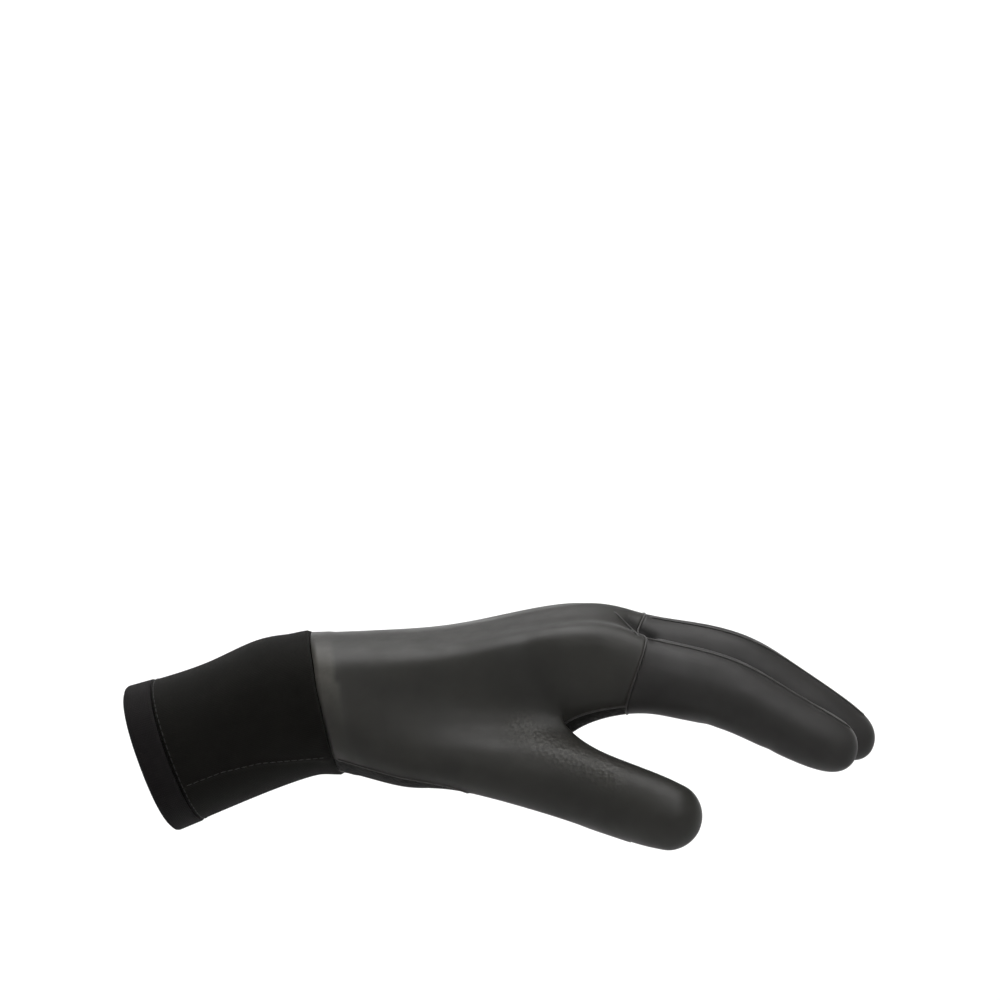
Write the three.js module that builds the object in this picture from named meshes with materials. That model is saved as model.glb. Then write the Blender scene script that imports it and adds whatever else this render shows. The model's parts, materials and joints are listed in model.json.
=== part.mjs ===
// Diving glove for the left hand, in the form it has when worn: a smooth rubber hand of glued
// panels and four finger stalls on a cloth-faced sleeve with a hemmed mouth. Every piece is a
// wall of foam rubber, hollow inside and open at the mouth.
// Millimetres and degrees. Origin: centre of the sleeve's mouth. +X runs to the fingertips,
// +Y to the little finger, +Z out of the back of the hand.
import * as THREE from "three";

// Walls and joints.
const handWall = 2.5;
const cuffWall = 3;
const seamGap = 0.3;

// Sleeve, from its mouth to the wrist joint.
const cuffLength = 59.5;
const cuffPitch = 19;
const mouthBreadth = 67;
const mouthDepth = 50;
const wristBreadth = 62;
const wristDepth = 46.4;
const hemWidth = 8;
const hemLift = 0.4;

// Hand, from the wrist joint to the knuckles, and the row of knuckles across it.
const palmLength = 88;
const knuckleSpan = 66;
const knuckleRise = 23.2;
const knuckleDepth = 30;
const palmTilt = 6;

// Digits: length from the knuckle or the root to the tip, with the wall.
const indexLength = 95;
const middleLength = 105.8;
const ringLength = 95;
const littleLength = 76;
const thumbLength = 56.5;
const fingerDepth = 23.5;
const fingerClearance = 1.6;
const webNotch = 8;
const thumbBreadth = 25.5;
const thumbDepth = 22.5;
const thumbWebSetback = 12;
const thumbWebRise = 8;

const finger = (name, length, columns) => ({ name, length, ...columns });

// One row per finger. along, across and up place its knuckle: shares of palmLength from the
// wrist, of knuckleSpan from the middle of the hand, and of knuckleRise above the wrist. breadth
// is a share of the knuckle spacing left by the clearance, depth a share of fingerDepth. The
// pitches of its three bones are below the horizontal, and splay is towards the little finger.
const fingers = [
  finger("index_stall", indexLength, {
    along: 0.99, across: -0.5, up: 0.79, breadth: 1.0, depth: 0.98, pitch: [12, 28.5, 24.5], splay: -2.5,
  }),
  finger("middle_stall", middleLength, {
    along: 1.0, across: -0.165, up: 1.0, breadth: 1.0, depth: 0.95, pitch: [11.3, 31.5, 33.5], splay: -0.5,
  }),
  finger("ring_stall", ringLength, {
    along: 0.955, across: 0.17, up: 0.86, breadth: 0.98, depth: 0.93, pitch: [10, 30, 42], splay: 2.5,
  }),
  finger("little_stall", littleLength, {
    along: 0.86, across: 0.485, up: 0.5, breadth: 0.9, depth: 0.82, pitch: [8, 24, 36], splay: 6,
  }),
];

// Shares of a finger's length taken by its three bones.
const bones = [0.485, 0.275, 0.24];

// Sections along a finger. at is a share of the bone that the section is on; breadth and depth
// are shares of the finger's own; drop moves it to the palm side by a share of the depth.
const knuckleSection = { bone: 0, at: 0, breadth: 1.12, drop: 0 };
const webSection = { bone: 0, at: 0.4, breadth: 1.05, depth: 1.02, drop: 0.015 };
const fingerSections = [
  { bone: 0, at: 0.68, breadth: 0.97, depth: 1.05, drop: 0 },
  { bone: 1, at: 0, breadth: 0.97, depth: 1.0, drop: 0 },
  { bone: 1, at: 0.5, breadth: 0.92, depth: 0.91, drop: 0 },
  { bone: 2, at: 0, breadth: 0.88, depth: 0.85, drop: 0 },
  { bone: 2, at: 0.42, breadth: 0.83, depth: 0.82, drop: 0 },
  { bone: 2, at: 0.78, breadth: 0.66, depth: 0.63, drop: 0 },
];

// The thumb's root lies beside the index knuckle. forward, across and up place it: shares of
// palmLength from the wrist, of knuckleSpan from the middle of the hand, and of wristDepth above
// the sleeve's end.
const thumbRoot = { forward: 0.81, across: -0.56, up: -0.44 };
const thumbSections = [
  { at: 0, breadth: 0.98, depth: 1.2, pitch: 15, yaw: -14 },
  { at: 0.28, breadth: 0.95, depth: 1.06, pitch: 17, yaw: -18 },
  { at: 0.5, breadth: 0.93, depth: 1.0, pitch: 17, yaw: -20 },
  { at: 0.69, breadth: 0.91, depth: 0.98, pitch: 16, yaw: -18 },
  { at: 0.86, breadth: 0.83, depth: 0.88, pitch: 14, yaw: -16 },
  { at: 0.965, breadth: 0.58, depth: 0.6, pitch: 12, yaw: -14 },
];

// Sections of the sleeve. at is a share of cuffLength; breadth and depth go from the mouth's at
// 0 to the wrist's at 1 and are then multiplied by swell; lift is a share of the depth.
const sleeveSections = [
  { at: 0.48, swell: 0.965, lift: 0.005, lean: 19 },
  { at: 0.76, swell: 1.05, lift: 0.047, lean: 17 },
];
const mouthLean = 20.5;
const wristLean = 15.4;
const sleeveSquareness = 2.25;

// Sections of the hand between the wrist and the knuckles. at, broaden, backRise and palmRise
// say how far along, out and up the section has come, as shares of the way to the knuckles;
// heel and ball push the little finger's and the thumb's side of the palm out, and hollow the
// palm's middle in, by a share of wristDepth.
const palmSections = [
  { at: 0.39, broaden: 0.4, backRise: 0.1, palmRise: 0.1, heel: 0.16, ball: 0.235, hollow: 0.06 },
  { at: 0.6, broaden: 0.7, backRise: 0.27, palmRise: 0.54, heel: 0.19, ball: 0.115, hollow: 0.16 },
];

const radians = THREE.MathUtils.degToRad;
const mix = THREE.MathUtils.lerp;

// A section's place and directions: forward along the piece, side to the little finger, up to
// the back of the hand.
function frame(centre, pitchDown, yaw) {
  const p = radians(-pitchDown);
  const s = radians(yaw);
  const forward = new THREE.Vector3(Math.cos(p) * Math.cos(s), Math.cos(p) * Math.sin(s), Math.sin(p));
  const up = new THREE.Vector3(-Math.sin(p) * Math.cos(s), -Math.sin(p) * Math.sin(s), Math.cos(p));
  return { centre, forward, up, side: up.clone().cross(forward) };
}

// A cage of n corners round a section is this much larger than the smooth section it makes.
const cageSwell = (n) => 3 / (2 + Math.cos((2 * Math.PI) / n));

function onSection(at, angle, breadth, depth, squareness, n) {
  const power = 2 / squareness;
  const bend = (v) => Math.sign(v) * Math.abs(v) ** power;
  return at.centre
    .clone()
    .addScaledVector(at.side, (bend(Math.cos(angle)) * breadth * cageSwell(n)) / 2)
    .addScaledVector(at.up, (bend(Math.sin(angle)) * depth * cageSwell(n)) / 2);
}

// Eight corners round a digit, from the back, over the little finger's side and the palm side.
const digitCorners = 8;
function digitRing(at, breadth, depth) {
  return Array.from({ length: digitCorners }, (_, i) =>
    onSection(at, Math.PI / 2 - (i * 2 * Math.PI) / digitCorners, breadth, depth, 2, digitCorners),
  );
}

// Twenty-four corners round the sleeve and the hand: 9 over the back from the index side, 1 on
// the little finger's side, 8 over the palm, 5 round the ball of the thumb, 1 on the index side.
const sleeveCorners = 24;
const backCentre = 4;
const sleeveAngle = (i) => Math.PI / 2 - ((i - backCentre) * 2 * Math.PI) / sleeveCorners;
function sleeveRing(at, breadth, depth) {
  return Array.from({ length: sleeveCorners }, (_, i) =>
    onSection(at, sleeveAngle(i), breadth, depth, sleeveSquareness, sleeveCorners),
  );
}

const wristCentre = new THREE.Vector3(
  cuffLength * Math.cos(radians(cuffPitch)),
  0,
  cuffLength * Math.sin(radians(cuffPitch)),
);

// Sleeve sections from the mouth to the wrist.
function sleeveRings() {
  const rows = [
    { at: 0, swell: 1, lift: 0, lean: mouthLean },
    { at: hemWidth / cuffLength, swell: 0.99, lift: 0, lean: mouthLean },
    ...sleeveSections,
    { at: 1, swell: 1, lift: 0, lean: wristLean },
  ];
  return rows.map((row) => {
    const breadth = mix(mouthBreadth, wristBreadth, row.at) * row.swell;
    const depth = mix(mouthDepth, wristDepth, row.at) * row.swell;
    const at = frame(wristCentre.clone().multiplyScalar(row.at), -row.lean, 0);
    at.centre.addScaledVector(at.up, row.lift * depth);
    return sleeveRing(at, breadth, depth);
  });
}

// Bones of a finger from its knuckle, and the section at a share of one of them. A section on a
// joint leans half way between its two bones.
function fingerSection(row, spacing, section) {
  const tilt = radians(palmTilt);
  const knuckle = new THREE.Vector3(
    wristCentre.x + palmLength * row.along,
    knuckleSpan * row.across,
    wristCentre.z + knuckleRise * row.up + knuckleSpan * row.across * Math.sin(tilt),
  );
  let centre = knuckle;
  for (let b = 0; b < section.bone; b++) {
    const bone = frame(centre, row.pitch[b], row.splay);
    centre = centre.clone().addScaledVector(bone.forward, row.length * bones[b]);
  }
  const bone = frame(centre, row.pitch[section.bone], row.splay);
  centre = centre.clone().addScaledVector(bone.forward, row.length * bones[section.bone] * section.at);
  const before = section.at === 0 && section.bone > 0 ? row.pitch[section.bone - 1] : row.pitch[section.bone];
  const at = frame(centre, (before + row.pitch[section.bone]) / 2, row.splay);
  const breadth = (spacing - fingerClearance) * row.breadth * section.breadth;
  const depth = section.depth ? fingerDepth * row.depth * section.depth : knuckleDepth * row.depth;
  at.centre.addScaledVector(at.up, -section.drop * depth);
  return { at, breadth, depth };
}

const spacing = knuckleSpan / (fingers.length - 1);
const ringOf = ({ at, breadth, depth }) => digitRing(at, breadth, depth);
const fingerRing = (row, section) => ringOf(fingerSection(row, spacing, section));
const between = (a, b) => a.clone().add(b).multiplyScalar(0.5);
const setBack = (point, distance) => point.sub(new THREE.Vector3(distance, 0, 0));

// Corners of a digit's ring by where they lie.
const BACK = 0;
const BACK_LITTLE = 1;
const LITTLE = 2;
const PALM_LITTLE = 3;
const PALM = 4;
const PALM_INDEX = 5;
const INDEX = 6;
const BACK_INDEX = 7;

// Four fingers' rings side by side share their corners: the back from the index side, the palm
// from the index side, both outer sides, and the webs between the fingers. The notch sets the
// back of each web behind the fingers' base line, and the middle of the web by a share of it.
const webDepth = 0.5;
function acrossTheHand(rings, notch = 0) {
  const [first, , , last] = rings;
  const back = [first[BACK_INDEX], first[BACK]];
  const palm = [first[PALM_INDEX], first[PALM]];
  const webs = [];
  for (let i = 1; i < rings.length; i++) {
    back.push(setBack(between(rings[i - 1][BACK_LITTLE], rings[i][BACK_INDEX]), notch), rings[i][BACK]);
    palm.push(between(rings[i - 1][PALM_LITTLE], rings[i][PALM_INDEX]), rings[i][PALM]);
    webs.push(setBack(between(rings[i - 1][LITTLE], rings[i][INDEX]), notch * webDepth));
  }
  back.push(last[BACK_LITTLE]);
  palm.push(last[PALM_LITTLE]);
  return { back, palm, webs, indexSide: first[INDEX], littleSide: last[LITTLE] };
}

function thumbSection(row) {
  const start = new THREE.Vector3(
    wristCentre.x + palmLength * thumbRoot.forward,
    knuckleSpan * thumbRoot.across,
    wristCentre.z + wristDepth * thumbRoot.up,
  );
  let centre = start;
  for (let i = 1; i < thumbSections.length && thumbSections[i - 1].at < row.at; i++) {
    const from = thumbSections[i - 1];
    const to = thumbSections[i].at < row.at ? thumbSections[i] : row;
    const step = (to.at - from.at) * thumbLength;
    centre = centre.clone().addScaledVector(frame(centre, from.pitch, from.yaw).forward, step);
  }
  return { at: frame(centre, row.pitch, row.yaw), breadth: thumbDepth * row.depth, depth: thumbBreadth * row.breadth };
}

// The cage: corners that its faces share, and four-sided faces that each belong to a piece.
const corners = [];
const faces = [];
const corner = (point) => corners.push(point) - 1;
const cornersOf = (points) => points.map(corner);
const face = (piece, a, b, c, d) => faces.push({ piece, loop: [a, b, c, d] });

// Faces between two rings that run the same way round; piece may depend on the side.
function tube(pieceOf, near, far) {
  near.forEach((a, i) => {
    const j = (i + 1) % near.length;
    face(pieceOf(i), a, far[i], far[j], near[j]);
  });
}

// A round end: four faces from the last ring to the tip.
function tip(pieceOf, ring, point) {
  const end = corner(point);
  for (let i = 0; i < ring.length; i += 2)
    face(pieceOf(i), end, ring[(i + 2) % ring.length], ring[i + 1], ring[i]);
}

// Sleeve and hand up to the knuckles.
const [mouth, hemLine, ...sleeve] = sleeveRings().map(cornersOf);
tube(() => "hem_band", mouth, hemLine);
[hemLine, ...sleeve].reduce((near, far) => {
  tube(() => "cuff", near, far);
  return far;
});
const wrist = sleeve.at(-1);

const knuckles = acrossTheHand(fingers.map((row) => fingerRing(row, knuckleSection)));
knuckles.palm.slice(0, 2).forEach((point) => (point.z += thumbWebRise));
const root = ringOf(thumbSection(thumbSections[0]));
const knuckleRing = cornersOf([
  ...knuckles.back,
  knuckles.littleSide,
  ...knuckles.palm.slice(2).reverse(),
  between(knuckles.palm[1], root[PALM_LITTLE]),
  root[PALM],
  root[PALM_INDEX],
  root[INDEX],
  root[BACK_INDEX],
  root[BACK],
  setBack(between(knuckles.indexSide, root[BACK_LITTLE]), thumbWebSetback / 2),
]);
const crotch = corner(setBack(between(knuckles.palm[0], root[LITTLE]), thumbWebSetback));

// Corners 10 to 18 of a hand ring bound the palm panel.
const palmFirst = 10;
const palmLast = 18;
const handPiece = (i) => (i >= palmFirst && i < palmLast ? "palm_panel" : "back_panel");

function palmRing(row) {
  return wrist.map((index, i) => {
    const near = corners[index];
    const far = corners[knuckleRing[i]];
    const angle = sleeveAngle(i);
    const rise = mix(row.palmRise, row.backRise, (Math.sin(angle) + 1) / 2);
    const point = new THREE.Vector3(
      mix(near.x, far.x, row.at),
      mix(near.y, far.y, row.broaden),
      mix(near.z, far.z, rise),
    );
    const push = (share, degrees) => {
      const facing = Math.max(0, Math.cos(angle - radians(degrees))) ** 2;
      point.y += share * wristDepth * facing * Math.cos(radians(degrees));
      point.z += share * wristDepth * facing * Math.sin(radians(degrees));
    };
    push(row.heel, -50);
    push(row.ball, -130);
    push(-row.hollow, -90);
    return point;
  });
}
[wrist, ...palmSections.map((row) => cornersOf(palmRing(row))), knuckleRing].reduce((near, far) => {
  tube(handPiece, near, far);
  return far;
});

// From the knuckles to the webs between the fingers.
const web = acrossTheHand(fingers.map((row) => fingerRing(row, webSection)), webNotch);
const webBack = cornersOf(web.back);
const webPalm = cornersOf(web.palm);
const webMiddle = cornersOf(web.webs);
const webIndexSide = corner(web.indexSide);
const webLittleSide = corner(web.littleSide);
const webRing = [...webBack, webLittleSide, ...[...webPalm].reverse(), webIndexSide];
const knuckleToWeb = [...knuckleRing.slice(0, 18), crotch, knuckleRing[23]];
const webPiece = (i) => (i >= palmFirst && i < palmLast ? "palm_panel" : "back_panel");
tube(webPiece, knuckleToWeb, webRing);

// Finger stalls.
fingers.forEach((row, f) => {
  const start = [
    webBack[2 * f + 1],
    webBack[2 * f + 2],
    webMiddle[f] ?? webLittleSide,
    webPalm[2 * f + 2],
    webPalm[2 * f + 1],
    webPalm[2 * f],
    webMiddle[f - 1] ?? webIndexSide,
    webBack[2 * f],
  ];
  const rings = fingerSections.map((section) => cornersOf(fingerRing(row, section)));
  const last = [start, ...rings].reduce((near, far) => {
    tube(() => row.name, near, far);
    return far;
  });
  const end = fingerSection(row, spacing, { bone: 2, at: 1, breadth: 1, depth: 1, drop: 0.06 });
  tip(() => row.name, last, end.at.centre);
});

// Thumb: its inner side belongs to the palm panel, the rest to the back panel.
const thumbPiece = (i) => (i >= LITTLE && i < PALM ? "palm_panel" : "back_panel");
const thumbStart = [22, 23, -1, 17, 18, 19, 20, 21].map((i) => (i < 0 ? crotch : knuckleRing[i]));
const thumbRings = thumbSections.slice(1).map((row) => cornersOf(ringOf(thumbSection(row))));
const thumbLast = [thumbStart, ...thumbRings].reduce((near, far) => {
  tube(thumbPiece, near, far);
  return far;
});
const lastRow = thumbSections.at(-1);
tip(thumbPiece, thumbLast, thumbSection({ ...lastRow, at: 1 }).at.centre);

// One round of Catmull-Clark subdivision, keeping each face's piece. Open edges stay on their
// own curve.
function subdivide(points, quads) {
  const edges = new Map();
  const key = (a, b) => (a < b ? a + "_" + b : b + "_" + a);
  const centres = quads.map(({ loop }) =>
    loop.reduce((sum, i) => sum.add(points[i]), new THREE.Vector3()).multiplyScalar(1 / loop.length),
  );
  quads.forEach(({ loop }, q) =>
    loop.forEach((a, i) => {
      const b = loop[(i + 1) % loop.length];
      const edge = edges.get(key(a, b)) ?? { ends: [a, b], quads: [] };
      edge.quads.push(q);
      edges.set(key(a, b), edge);
    }),
  );
  const around = points.map(() => ({ edges: [], quads: new Set() }));
  for (const edge of edges.values())
    for (const end of edge.ends) {
      around[end].edges.push(edge);
      edge.quads.forEach((q) => around[end].quads.add(q));
    }
  const middle = (edge) => between(points[edge.ends[0]], points[edge.ends[1]]);
  const moved = points.map((point, i) => {
    const open = around[i].edges.filter((edge) => edge.quads.length === 1);
    if (open.length)
      return open.reduce((sum, edge) => sum.addScaledVector(middle(edge), 0.25), point.clone().multiplyScalar(0.5));
    const n = around[i].edges.length;
    const centre = new THREE.Vector3();
    around[i].quads.forEach((q) => centre.addScaledVector(centres[q], 1 / n));
    const ring = new THREE.Vector3();
    around[i].edges.forEach((edge) => ring.addScaledVector(middle(edge), 1 / n));
    return centre.addScaledVector(ring, 2).addScaledVector(point, n - 3).multiplyScalar(1 / n);
  });
  const next = [...moved];
  const centreIndex = centres.map((centre) => next.push(centre) - 1);
  const edgeIndex = new Map();
  for (const [name, edge] of edges) {
    const point = middle(edge);
    if (edge.quads.length === 2)
      point.add(between(centres[edge.quads[0]], centres[edge.quads[1]])).multiplyScalar(0.5);
    edgeIndex.set(name, next.push(point) - 1);
  }
  const finer = quads.flatMap(({ piece, loop }, q) =>
    loop.map((a, i) => {
      const before = loop[(i + loop.length - 1) % loop.length];
      const after = loop[(i + 1) % loop.length];
      return { piece, loop: [a, edgeIndex.get(key(a, after)), centreIndex[q], edgeIndex.get(key(before, a))] };
    }),
  );
  return { points: next, quads: finer };
}

const skin = subdivide(corners, faces);

// Outward direction at each point of the skin.
const outward = skin.points.map(() => new THREE.Vector3());
for (const { loop } of skin.quads) {
  const [a, b, c, d] = loop.map((i) => skin.points[i]);
  const across = c.clone().sub(a).cross(d.clone().sub(b));
  loop.forEach((i) => outward[i].add(across));
}
outward.forEach((direction) => direction.normalize());

// In a web the sides of two stalls face each other, and outward is along the fingers.
const piecesAt = skin.points.map(() => new Set());
for (const { piece, loop } of skin.quads) loop.forEach((i) => piecesAt[i].add(piece));
outward.forEach((direction, i) => {
  const beside = fingers.filter(({ name }) => piecesAt[i].has(name));
  if (beside.length < 2 || piecesAt[i].size > 2) return;
  const [one, other] = beside.map(({ pitch, splay }) => frame(direction, pitch[0], splay).forward);
  direction.copy(one.add(other).normalize());
});

// A piece's solid: its share of the skin, thickened inwards, with its edges drawn back by half
// a seam gap.
function wallOf(piece, wall, lift) {
  const quads = skin.quads.filter((quad) => quad.piece === piece).map(({ loop }) => loop);
  const used = [...new Set(quads.flat())];
  const directed = new Set(quads.flatMap((loop) => loop.map((a, i) => a + "_" + loop[(i + 1) % 4])));
  const rim = quads.flatMap((loop) =>
    loop.map((a, i) => [a, loop[(i + 1) % 4]]).filter(([a, b]) => !directed.has(b + "_" + a)),
  );
  const inwards = new Map();
  for (const [a, b] of rim) {
    const edge = skin.points[b].clone().sub(skin.points[a]);
    for (const i of [a, b]) {
      const sum = inwards.get(i) ?? new THREE.Vector3();
      inwards.set(i, sum.add(outward[i].clone().cross(edge).normalize()));
    }
  }
  const place = new Map(used.map((i, n) => [i, n]));
  const outer = used.map((i) => {
    const point = skin.points[i].clone().addScaledVector(outward[i], lift);
    const along = inwards.get(i);
    if (along) point.addScaledVector(along, seamGap / Math.max(1, along.lengthSq()));
    return point;
  });
  const inner = outer.map((point, n) => point.clone().addScaledVector(outward[used[n]], -wall - lift));
  const positions = [...outer, ...inner].flatMap((point) => point.toArray());
  const count = used.length;
  const index = [];
  const quad = (a, b, c, d) => index.push(a, b, c, a, c, d);
  for (const loop of quads) {
    const [a, b, c, d] = loop.map((i) => place.get(i));
    quad(a, b, c, d);
    quad(count + d, count + c, count + b, count + a);
  }
  // Both pieces at a seam cut their rim faces along the same diagonal.
  for (const [a, b] of rim) {
    const [p, q] = [place.get(a), place.get(b)];
    if (a < b) quad(p, count + p, count + q, q);
    else quad(q, p, count + p, count + q);
  }
  const geometry = new THREE.BufferGeometry();
  geometry.setAttribute("position", new THREE.Float32BufferAttribute(positions, 3));
  geometry.setIndex(index);
  geometry.computeVertexNormals();
  return geometry;
}

const rubber = new THREE.MeshStandardMaterial({ color: 0x2f2f2d, roughness: 0.42, metalness: 0 });
const grip = new THREE.MeshStandardMaterial({ color: 0x1f1f1d, roughness: 0.7, metalness: 0 });
const jersey = new THREE.MeshStandardMaterial({ color: 0x131311, roughness: 0.95, metalness: 0 });
const binding = new THREE.MeshStandardMaterial({ color: 0x151417, roughness: 0.9, metalness: 0 });

const pieces = [
  { name: "hem_band", wall: cuffWall, lift: hemLift, material: binding },
  { name: "cuff", wall: cuffWall, lift: 0, material: jersey },
  { name: "back_panel", wall: handWall, lift: 0, material: rubber },
  { name: "palm_panel", wall: handWall, lift: 0, material: grip },
  ...fingers.map(({ name }) => ({ name, wall: handWall, lift: 0, material: rubber })),
];

const glove = new THREE.Group();
for (const { name, wall, lift, material } of pieces) {
  const mesh = new THREE.Mesh(wallOf(name, wall, lift), material);
  mesh.name = name;
  glove.add(mesh);
}

export default glove;
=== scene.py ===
import json
import math

import bmesh
import bpy
import numpy as np
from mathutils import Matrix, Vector
from mathutils.bvhtree import BVHTree
from mathutils.kdtree import KDTree

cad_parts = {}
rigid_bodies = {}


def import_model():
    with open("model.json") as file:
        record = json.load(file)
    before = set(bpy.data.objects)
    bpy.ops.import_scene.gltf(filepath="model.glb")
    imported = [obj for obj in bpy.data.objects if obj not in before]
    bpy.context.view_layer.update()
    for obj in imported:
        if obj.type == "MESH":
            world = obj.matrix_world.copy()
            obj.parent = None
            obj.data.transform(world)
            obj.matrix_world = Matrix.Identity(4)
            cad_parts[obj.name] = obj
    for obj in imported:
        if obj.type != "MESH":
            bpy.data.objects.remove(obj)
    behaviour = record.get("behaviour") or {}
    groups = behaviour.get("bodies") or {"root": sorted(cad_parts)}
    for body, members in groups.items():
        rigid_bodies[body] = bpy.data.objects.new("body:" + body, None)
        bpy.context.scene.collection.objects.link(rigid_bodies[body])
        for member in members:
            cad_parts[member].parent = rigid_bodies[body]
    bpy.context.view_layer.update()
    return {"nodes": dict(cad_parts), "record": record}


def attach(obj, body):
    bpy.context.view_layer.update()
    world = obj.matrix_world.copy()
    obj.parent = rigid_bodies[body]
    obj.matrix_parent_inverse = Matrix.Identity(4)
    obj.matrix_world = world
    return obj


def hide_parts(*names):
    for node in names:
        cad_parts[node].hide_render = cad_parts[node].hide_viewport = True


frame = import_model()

bl_info = {
    "name": "Diving Glove",
    "version": (1, 0, 0),
    "blender": (4, 5, 0),
    "location": "3D View > Sidebar > Glove",
    "description": "Dresses a diving glove with rubber skins, sleeve cloth, seams and stitches",
    "category": "Object",
}

MM = 0.001

# The hand's solids: two panels and four finger stalls
HAND_NODES = (
    "back_panel", "palm_panel", "index_stall", "middle_stall", "ring_stall", "little_stall",
)
BACK_PANEL = 0
PALM_PANEL = 1
STALLS = range(2, 6)

# Keeps a division by a length from a division by zero
TINY = 1e-12

SKIN_LEVELS = 3

# How the solids' loose triangles become quads: which points are one, how near a neighbour's
# points and faces lie across a joint, and how sharp an edge ends the sleeve's outer skin
SAME_POINT = 1e-5
SEAM_REACH = 0.9 * MM
RIM_REACH = 0.6 * MM
SLEEVE_CORNER = math.radians(60)

# How much a bend speaks against an edge as a quad's diagonal, how many edges meet at a good
# point, what a wrong face counts, and how often all points are gone through
BEND_WEIGHT = 0.5
GOOD_EDGES = 4
FACE_WEIGHT = 2
SOLVER_ROUNDS = 8

# The camera stands level with a point above the glove, at the side of the thumb
CAMERA_PLACE = (0.1157, -0.925, 0.086)
CAMERA_LENS = 100.0
CAMERA_SENSOR = 36.0
CAMERA_NEAR = 0.01

# Lines on the thumb's side, in millimetres along the glove and upwards, as they look from the
# camera on the upright plane through the glove's middle
SLEEVE_SEAM = ((7.4, -10.7), (23.0, -4.7), (35.7, -1.7), (58.7, 0.3))
KNUCKLE_VALLEY = ((124.0, 40.0), (125.0, 31.0), (128.4, 22.0), (135.0, 14.0))
KNUCKLE_RIDGE = ((136.0, 36.7), (149.0, 39.3))
# The thumb's crumpled strip, which is raised a little and painted with a speckled highlight
THUMB_CRUMPLE = ((123.0, 9.3), (135.7, 3.3), (153.0, -4.7))
PALM_EDGE = (
    (60.0, 0.0), (64.0, -1.0), (73.0, -3.7), (82.4, -6.3),
    (92.0, -8.0), (100.0, -9.7), (108.0, -12.4), (114.0, -17.0),
)
WRIST_RUB = ((59.0, 1.0), (66.7, -3.3))
KNUCKLE_SEAM = ((153.5, 49.0), (157.4, 45.0), (162.0, 40.5))
# The gap between the index and middle knuckles, which is dented and painted with shadow
KNUCKLE_GAP = ((158.5, 46.0), (166.5, 40.5))

# Half widths of the lines whose width the sidebar doesn't set
CRUMPLE_RUN = 5.0 * MM
WRIST_RUB_RUN = 3.0 * MM
KNUCKLE_GAP_RUN = 1.7 * MM

# A line fades in between these shares of facing its side
LINE_FACING = (0.05, 0.45)

# Lines in the palm, in millimetres along the glove and across it, seen from below
PALM_LINES = (
    ((78.0, -14.0), (96.0, -6.0), (112.0, -10.0), (124.0, -22.0)),
    ((124.0, -20.0), (114.0, 4.0), (104.0, 26.0)),
    ((146.0, -4.0), (134.0, 8.0), (128.0, 34.0)),
)

# The folds under a finger's joints: where they lie as shares of its length, the reach and the
# depth of the slices that tell the finger's direction there, how far a face must look down,
# and how much wider they are than the palm's folds
FOLD_PLACES = (0.40, 0.68)
FOLD_REACH = 5 * MM
FOLD_SLICE = 3 * MM
FOLD_FACING = (0.45, 0.9)
FOLD_WIDER = 1.6

# A finger's upper edge: how far the bead on it stays from the finger's root and tip, in how
# many marks it is found, half the width of the slice at a mark, and rounds of smoothing
EDGE_START = 6 * MM
EDGE_END = 2 * MM
EDGE_MARKS = 40
EDGE_SLICE = 1.0 * MM
EDGE_SMOOTHING = 12

# The wall's greatest share of the radius that it bends round, how far a thin place spreads,
# rounds of smoothing after that, and the least bend that counts, in radians in a metre
WALL_SHARE = 0.45
WALL_SPREAD = 5
WALL_SMOOTHING = 12
LEAST_BEND = 1e-3

# The dome at the thumb's end, as it looks from the camera: its middle, radius and direction,
# its length as a share of the radius, and a height between the thumb and the fingers
TIP_MIDDLE = (171.4 * MM, -18.0 * MM)
TIP_RADIUS = 12.0 * MM
TIP_ALONG = (0.93, -0.37)
TIP_LENGTH = 0.97
TIP_TOP = 2.0 * MM

# The slice behind the dome's middle that gives its axis, in radii, and the slices' half width,
# the core of the dome that isn't drawn out, the share over which the dome sets in, where along
# it its colour does, and how much of that colour ends the seam's bead
TIP_ROOT = 0.75
TIP_SLICE = 1.5 * MM
TIP_CORE = 0.2
TIP_BLEND = 0.6
TIP_COLOUR = (-1.1, -0.2)
TIP_BEAD = 0.5

# The palm's rubber on the thumb's side: how it sets in and runs out along the glove, how soft
# its edge is, how far a face may look up, and how deep across the glove it reaches
PALM_START = 2 * MM
PALM_END = 4 * MM
PALM_SOFT = 0.15 * MM
PALM_FACING = 0.5
PALM_DEPTH = 12 * MM

# The overlap band beside the wrist: length of its step, height and reach of its painted highlight,
# painted highlight outside that height and what the height adds, and the share of facing the
# camera's side
BAND_STEP = 0.5 * MM
BAND_MIDDLE = 29.0 * MM
BAND_REACH = 9.0 * MM
BAND_HIGHLIGHT = (0.12, 0.88)
BAND_FACING = 0.5

# Strength of the rubbed mark under the wrist, half width of a seam's tint, depth of the gap between
# two knuckles in depths of the valley, and the side of the glove on which that gap is dented and
# painted with shadow
WRIST_RUB_SHARE = 0.5
SEAM_TINT_RUN = 1.1 * MM
GAP_DEPTH = 2.0
GAP_SIDE = -5 * MM

# The hem's knit is coarser, its edge towards the sleeve rounds off faster, the sleeve's inside
# is paler, and the hand's inside has a pitch of its own
HEM_COARSER = 1.3
HEM_FASTER = 1.5
INSIDE_PALER = 1.2
INSIDE_PITCH = 0.6 * MM

# Where most of a noise's values lie, length of a wave texture's wave at scale one, and a knit's
# course as a share of its wale
NOISE_RANGE = (0.3, 0.7)
WAVE_LENGTH = 0.314
COURSE_SHARE = 0.75

# Share of a thread's radius by which its middle stands over the cloth
THREAD_LIFT = 0.3

# The pale bowl: its flat middle, the curve up to the wall and the wall's height in radii, its
# centre along the glove in metres, and the steps of the curve and the sides of the round
BOWL_MIDDLE = 0.02
BOWL_CURVE = 0.4
BOWL_HEIGHT = 1.3
BOWL_CENTRE = 0.1
BOWL_STEPS = 12
BOWL_SIDES = 96

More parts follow.
